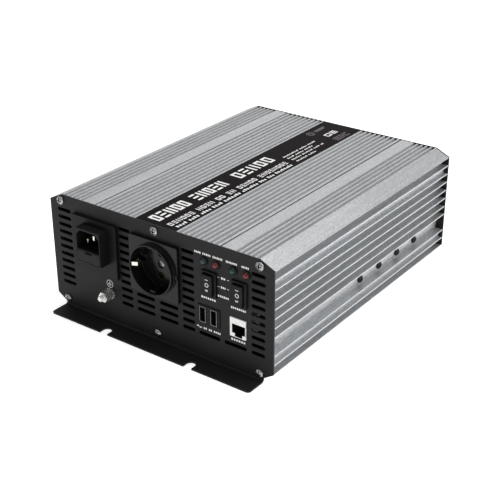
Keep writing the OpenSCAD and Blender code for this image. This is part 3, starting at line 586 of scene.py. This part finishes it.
class INVERTER_OT_label(bpy.types.Operator):
    """Builds the long film on the top and its greeked print"""

    bl_idname = "inverter.label"
    bl_label = "Top label"

    def execute(self, context):
        ink = context.scene.inverter_print.ink_height
        low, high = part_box("top_label")
        middle, size, high_z = (low + high) / 2, high - low, high.z
        film = started("top_label_film", bpy.ops.mesh.primitive_cube_add, size=1,
                       location=(middle.x, middle.y, (low.z + high.z - ink) / 2))
        bpy.ops.transform.resize(value=(size.x, size.y, size.z - ink))
        bpy.ops.object.transform_apply(location=True, rotation=True, scale=True)
        bevelled(film, 0.05)
        settled(film, "label_film", "top_label", replaces=("top_label",))
        front = side_of("case_top", 1, 0) - PANEL_STEEL
        # Rows in millimetres: place across, height, start, end, letters in each word, share, stroke
        large = [(-7.0, 12.0, 6.6, 97, [5, 5], 0.74, 2.1), (-7.0, 12.0, 110, 163, [5], 0.7, 2.1),
                 (9.2, 5.2, 6, 163, [6, 4, 2, 2, 5, 8], 0.7, 0.95), (2.0, 6.0, 236, 254, [2], 0.8, 1.3)]
        # The same without share and stroke: rows too small for glyphs, drawn as plain bars
        small = [(16.2, 3.0, 7, 161, [4, 4, 4, 4, 7, 7, 3, 3, 8]), (1.0, 1.9, 170, 220, [10, 5, 5]),
                 (5.5, 1.9, 170, 209, [4, 5, 5]), (10.0, 1.9, 170, 220, [6, 7, 4, 2]),
                 (15.0, 1.9, 170, 200, [7, 5])]
        # Rows of the faint grey print
        faint = [(-13.0, 1.6, 240, 257, [9]), (-11.0, 1.6, 240, 254, [7]), (11.0, 1.4, 234, 256, [8, 4]),
                 (13.6, 1.4, 234, 252, [5, 6]), (16.2, 1.4, 234, 255, [7, 4])]
        blocks = []
        for x, high, start, end, words, share, stroke in large:
            for i, (at, wide) in enumerate(word_row(start, end, words, share)):
                blocks += glyph((0, 2, 1, 0, 0, 2, 1)[i % 7], x, at, high, wide, stroke)
        for x, high, start, end, words in small:
            for i, (at, wide) in enumerate(word_row(start, end, words, 0.62)):
                blocks.append((x + 0.1 * high * (i % 3 - 1), at, high * (1 - 0.15 * (i % 3)), wide))
        place = (0, front, high_z - ink)
        white = ink_marks("top_label_print", blocks, 2 * ink)
        white.location = place
        settled(white, "white_ink", "top_label")
        blocks = [(x, at, high, wide) for x, high, start, end, words in faint
                  for at, wide in word_row(start, end, words, 0.6)]
        grey = ink_marks("top_label_faint_print", blocks, 2 * ink, [(-12, 233, 4, 0.5), (-12, 233, 2.4, 0.5)])
        grey.location = place
        settled(grey, "grey_ink", "top_label")
        return {"FINISHED"}


class INVERTER_OT_legends(bpy.types.Operator):
    """Prints the greeked legends and the earth sign on the front panel"""

    bl_idname = "inverter.legends"
    bl_label = "Front legends"

    def execute(self, context):
        ink = context.scene.inverter_print.ink_height
        # Rows in millimetres on the panel: start, end, height above the base, letters in each word
        rows = [(38.1, 53.6, 91.2, [4, 5]), (55.1, 64.3, 91.2, [7]), (67.3, 77.5, 91.2, [8]),
                (81.3, 88.1, 91.2, [5]), (62.6, 67.0, 76.0, [2]), (62.4, 67.2, 68.4, [3]),
                (59.5, 70.0, 60.7, [6]), (43.8, 57.8, 55.1, [7]), (71.5, 85.5, 55.1, [8]),
                (45.5, 62.0, 28.1, [2, 2, 4]), (71.5, 85.0, 28.1, [6])]
        blocks = []
        for start, end, z, words in rows:
            for i, (at, wide) in enumerate(word_row(start, end, words, 0.68)):
                blocks.append((at, z, wide, 1.75 - 0.12 * (i % 3)))
        # Dashes on both sides of the switches' two upper legends, and a sign by the USB sockets
        blocks += [(x, z, 1.9, 0.4) for x in (60.4, 69.2) for z in (76.0, 68.4)]
        blocks += [(41.6, 28.1, 5.2, 0.45), (40.2, 28.6, 1.6, 0.9), (42.6, 27.6, 1.4, 0.9)]
        earth = [(-49.7, 37.0, 0.4, 2.2), (-49.7, 35.8, 3.8, 0.4), (-49.7, 34.9, 2.4, 0.4),
                 (-49.7, 34.0, 1.1, 0.4)]
        marks = ink_marks("front_legends", blocks + earth, 2 * ink, [(-49.7, 35.9, 3.4, 0.4)])
        stood_up(marks, side_of("case_top", 1, 0) - PANEL_STEEL + ink)
        settled(marks, "white_ink", "front_panel")
        return {"FINISHED"}


class INVERTER_OT_panels(bpy.types.Operator):
    """Builds the folded end panels"""

    bl_idname = "inverter.panels"
    bl_label = "End panels"

    def execute(self, context):
        for node in ("front_panel", "rear_panel"):
            softened(node, node + "_sheet", 0.25)
        return {"FINISHED"}


class INVERTER_OT_screws(bpy.types.Operator):
    """Builds the cross-recessed screws"""

    bl_idname = "inverter.screws"
    bl_label = "Screws"

    def execute(self, context):
        # Middles of the heads in millimetres: x and z on the ends, y and z on the sides
        corners = [(x, z) for x in (-98, 0, 98) for z in (7.4, 96.5)]
        fans = [(x + i, 52 + j) for x in (-66, 66) for i in (-25, 25) for j in (-25, 25)]
        sides = [(y, 30.9) for y in (-2, 28.5, 59, 89.5)]
        sets = [("front_panel_screws", 1, corners, 3.5), ("rear_panel_screws", 1, corners, 3.5),
                ("side_screws", 0, sides, 3.2), ("fan_screws", 1, fans, 3.5),
                ("ac_socket_screw", 1, [(0, 65.5)], 2.8)]
        for node, axis, places, radius in sets:
            # Painted shade: the crosses in the heads get a near black finish
            crossed(softened(node, node + "_set", 0.12), axis, places, radius)
        softened("board_screws", "board_screws_set", 0.12)
        return {"FINISHED"}


class INVERTER_OT_socket(bpy.types.Operator):
    """Builds the mains socket"""

    bl_idname = "inverter.socket"
    bl_label = "Mains socket"

    def execute(self, context):
        softened("ac_socket_housing", "socket_moulding", 0.4, 3, finish="glossy_moulding")
        softened("ac_socket_earth_clips", "socket_earth_clips", 0.1)
        # Painted shade: the contact tubes take the darkened brass finish
        softened("ac_socket_contacts", "socket_contact_tubes", 0.15)
        return {"FINISHED"}


class INVERTER_OT_inlet(bpy.types.Operator):
    """Builds the mains inlet and its fuse drawer"""

    bl_idname = "inverter.inlet"
    bl_label = "Mains inlet"

    def execute(self, context):
        softened("inlet_plate", "inlet_mounting_plate", 0.4, 3)
        softened("inlet_housing", "inlet_moulding", 0.3, 2, merge=False)
        softened("inlet_pins", "inlet_blades", 0.35)
        softened("fuse_drawer", "fuse_drawer_moulding", 0.2)
        softened("line_fuses", "glass_fuses", 0.2)
        return {"FINISHED"}


class INVERTER_OT_stud(bpy.types.Operator):
    """Builds the threaded earth stud with its nuts and toothed washer"""

    bl_idname = "inverter.stud"
    bl_label = "Earth stud"

    def execute(self, context):
        low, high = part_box("ground_stud")
        middle = (low + high) / 2
        middle.y = low.y
        length = (high.y - low.y) / MM
        # M5 thread behind a flat point
        radius, pitch, depth = 2.5, 0.8, 0.42
        profile = [(0, 0), (0, 1.9)] + thread(0.4, length, radius, pitch, depth) + [(length, 0)]
        stud = turned("earth_stud", profile, middle, REAR)
        settled(stud, "earth_nickel", "ground_stud", smooth=30, replaces=("ground_stud",))
        softened("ground_lock_washer", "earth_toothed_washer", 0.12, finish="earth_nickel")
        softened("ground_nuts", "earth_nuts", 0.3, finish="earth_nickel")
        return {"FINISHED"}


class INVERTER_OT_lamps(bpy.types.Operator):
    """Builds the indicator lamps"""

    bl_idname = "inverter.lamps"
    bl_label = "Lamps"

    def execute(self, context):
        softened("led_bezels", "lamp_bezels", 0.25, 3)
        for node in ("led_bypass", "led_charger", "led_inverter", "led_fault"):
            softened(node, node + "_lens", 0.1)
        return {"FINISHED"}


class INVERTER_OT_rockers(bpy.types.Operator):
    """Builds the rocker switches"""

    bl_idname = "inverter.rockers"
    bl_label = "Rocker switches"

    def execute(self, context):
        for switch in ("charger", "inverter"):
            softened(switch + "_switch_frame", switch + "_switch_surround", 0.35, 3)
            node = switch + "_rocker"
            softened(node, node + "_key", 0.5, 3)
            middle = centre(node) / MM
            # The key's face slopes, so the bars lie a little further forward than the ring
            ring_y, bars_y, thickness = -138.38 * MM, -138.62 * MM, 0.2 * MM
            ring = ink_marks(node + "_ring_mark", [], thickness, [(middle.x, middle.z, 1.7, 0.45)])
            settled(stood_up(ring, ring_y), "white_ink", node)
            bars = [(middle.x, middle.z + 4.4, 2.8, 0.5)]
            bars += [(middle.x + x, middle.z - 4.4, 0.45, 1.6) for x in (-0.9, 0, 0.9)]
            bar_marks = ink_marks(node + "_bar_marks", bars, thickness)
            settled(stood_up(bar_marks, bars_y), "white_ink", node)
        return {"FINISHED"}


class INVERTER_OT_signals(bpy.types.Operator):
    """Builds the two USB sockets and the data socket"""

    bl_idname = "inverter.signals"
    bl_label = "Signal sockets"

    def execute(self, context):
        usb_middles, usb_height = (45.8, 56.3), 40.4
        usb_half_wide, usb_half_high = 2.7, 6.4
        data_middle, data_half_wide, data_low, data_high = 79.05, 6.1, 31.4, 42.1
        mouth = side_of("rj45_jack", 1, 0) + 0.35 * MM

        # Painted shade: the sideways faces of the USB shells inside their openings are chosen for black
        # moulding in place of their metal
        def shaded_shell_inside(at, normal):
            near = min(abs(at.x / MM - x) for x in usb_middles) < usb_half_wide
            return near and abs(at.z / MM - usb_height) < usb_half_high and abs(normal.y) < 0.5

        # Painted shade: the faces inside the data socket's opening, behind its mouth, are chosen for black
        # moulding
        def shaded_jack_inside(at, normal):
            across = abs(at.x / MM - data_middle) < data_half_wide
            return across and data_low < at.z / MM < data_high and at.y > mouth

        softened("usb_module", "usb_block", 0.25)
        shells = softened("usb_shells", "usb_shell_pair", 0.08)
        # Painted shade: the insides of the USB shells in black moulding
        patched(shells, "black_moulding", shaded_shell_inside)
        softened("usb_tongues", "usb_tongue_pair", 0.15, finish="black_moulding")
        jack = softened("rj45_jack", "data_socket", 0.2)
        # Painted shade: the inside of the data socket in black moulding
        patched(jack, "black_moulding", shaded_jack_inside)
        softened("rj45_contacts", "data_socket_wires", 0.05)
        return {"FINISHED"}


class INVERTER_OT_fans(bpy.types.Operator):
    """Builds the fans and their wire guards"""

    bl_idname = "inverter.fans"
    bl_label = "Fans"

    def execute(self, context):
        for side in ("left", "right"):
            softened(f"fan_{side}_frame", f"fan_{side}_housing", 0.4)
            softened(f"fan_{side}_rotor", f"fan_{side}_impeller", 0.2)
            softened(f"fan_{side}_guard", f"fan_{side}_wire_guard", 0.45, 3)
        return {"FINISHED"}


class INVERTER_OT_terminals(bpy.types.Operator):
    """Builds the battery terminals"""

    bl_idname = "inverter.terminals"
    bl_label = "Battery terminals"

    def execute(self, context):
        softened("dc_positive_insulator", "positive_insulator", 0.5, 3)
        softened("dc_negative_insulator", "negative_insulator", 0.5, 3, merge=False)
        low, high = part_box("dc_studs")
        length = (high.y - low.y) / MM
        # M8 thread behind a flat end
        radius, pitch, depth = 4.0, 1.25, 0.7
        profile = [(0, 0), (0, 3.2)] + thread(0.6, length, radius, pitch, depth) + [(length, 0)]
        places = [Vector((x * MM, low.y, (low.z + high.z) / 2)) for x in (-16, 16)]
        studs = [turned("battery_stud", profile, place, REAR) for place in places]
        settled(joined("battery_studs", studs), SLOT_OF["dc_studs"], "dc_studs", smooth=30,
                replaces=("dc_studs",))
        softened("dc_stud_nuts", "battery_stud_nuts", 0.4)
        softened("dc_busbars", "copper_bars", 0.2)
        return {"FINISHED"}


class INVERTER_OT_boards(bpy.types.Operator):
    """Gives the boards and the parts on them their finishes"""

    bl_idname = "inverter.boards"
    bl_label = "Circuit boards"

    def execute(self, context):
        for node in ("heat_bar_left", "heat_bar_right", "main_board", "control_board", "board_standoffs",
                     "transformer_cores", "transformer_windings", "choke_core", "choke_winding",
                     "high_voltage_capacitors", "input_capacitors", "power_transistors",
                     "bypass_relays"):
            softened(node, node + "_piece", 0.25)
        return {"FINISHED"}


class INVERTER_OT_stage(bpy.types.Operator):
    """Builds the floor, the light and the camera"""

    bl_idname = "inverter.stage"
    bl_label = "Stage"

    def execute(self, context):
        settings = context.scene.inverter_stage
        scene = context.scene
        floor = started("floor", bpy.ops.mesh.primitive_plane_add, size=8, location=(0, 0, 0))
        paper = bpy.data.materials.new("matt_studio_paper")
        paper.use_nodes = True
        shader = paper.node_tree.nodes["Principled BSDF"]
        shader.inputs["Base Color"].default_value = [*settings.floor_colour, 1.0]
        shader.inputs["Roughness"].default_value = 0.9
        shader.inputs["Specular IOR Level"].default_value = 0.1
        shader.inputs["Emission Color"].default_value = (1, 1, 1, 1)
        shader.inputs["Emission Strength"].default_value = settings.floor_glow
        floor.data.materials.append(paper)
        scene.world = bpy.data.worlds.new("soft_white_room")
        scene.world.use_nodes = True
        sky = scene.world.node_tree.nodes["Background"]
        sky.inputs["Color"].default_value = (1, 1, 1, 1)
        sky.inputs["Strength"].default_value = settings.sky
        # Each light's name, place, aim, width and power
        lights = [("overhead_softbox", (0.2, 0.2, 1.4), (0, 0, 0.05), 0.8, settings.key),
                  ("back_softbox", (-0.7, 1.1, 0.75), (0, 0, 0.08), 1.0, settings.back),
                  ("right_softbox", (1.2, 0.2, 0.75), (0, 0, 0.05), 0.8, settings.fill)]
        for name, place, aim, size, power in lights:
            lamp = bpy.data.lights.new(name, "AREA")
            lamp.size, lamp.energy = size, power
            holder = bpy.data.objects.new(name, lamp)
            scene.collection.objects.link(holder)
            holder.location = place
            holder.rotation_euler = (Vector(aim) - Vector(place)).to_track_quat("-Z", "Y").to_euler()
        azimuth, elevation = math.radians(36.005), math.radians(26.468)
        back = Vector((math.sin(azimuth) * math.cos(elevation), -math.cos(azimuth) * math.cos(elevation),
                       math.sin(elevation)))
        camera = bpy.data.objects.new("camera", bpy.data.cameras.new("camera"))
        scene.collection.objects.link(camera)
        camera.location = (0.4864, -0.6819, 0.4432)
        camera.rotation_euler = (-back).to_track_quat("-Z", "Y").to_euler()
        camera.data.lens, camera.data.sensor_width = 77.30, 36
        scene.camera = camera
        scene.view_settings.view_transform = "Standard"
        return {"FINISHED"}


BUILDERS = (INVERTER_OT_case, INVERTER_OT_label, INVERTER_OT_panels, INVERTER_OT_legends, INVERTER_OT_screws,
            INVERTER_OT_socket, INVERTER_OT_inlet, INVERTER_OT_stud, INVERTER_OT_lamps,
            INVERTER_OT_rockers, INVERTER_OT_signals, INVERTER_OT_fans, INVERTER_OT_terminals,
            INVERTER_OT_boards, INVERTER_OT_stage)


class INVERTER_PT_looks(bpy.types.Panel):
    """Lists the settings and the pieces in the 3D view's sidebar"""

    bl_idname = "INVERTER_PT_looks"
    bl_label = "Power inverter"
    bl_space_type = "VIEW_3D"
    bl_region_type = "UI"
    bl_category = "Inverter"

    def draw(self, context):
        scene = context.scene
        for group in (scene.inverter_case, scene.inverter_print, scene.inverter_stage):
            box = self.layout.box()
            for name in group.__annotations__:
                box.prop(group, name)
        for builder in BUILDERS:
            self.layout.operator(builder.bl_idname)


CLASSES = (CaseSettings, PrintSettings, StageSettings, *BUILDERS, INVERTER_PT_looks)


def register():
    for kind in CLASSES:
        bpy.utils.register_class(kind)
    bpy.types.Scene.inverter_case = bpy.props.PointerProperty(type=CaseSettings)
    bpy.types.Scene.inverter_print = bpy.props.PointerProperty(type=PrintSettings)
    bpy.types.Scene.inverter_stage = bpy.props.PointerProperty(type=StageSettings)


def unregister():
    del bpy.types.Scene.inverter_stage
    del bpy.types.Scene.inverter_print
    del bpy.types.Scene.inverter_case
    for kind in reversed(CLASSES):
        bpy.utils.unregister_class(kind)


def main():
    """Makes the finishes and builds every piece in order."""
    register()
    make_finishes(bpy.context.scene.inverter_case)
    for builder in BUILDERS:
        group, name = builder.bl_idname.split(".")
        getattr(getattr(bpy.ops, group), name)()


if __name__ == "__main__":
    main()
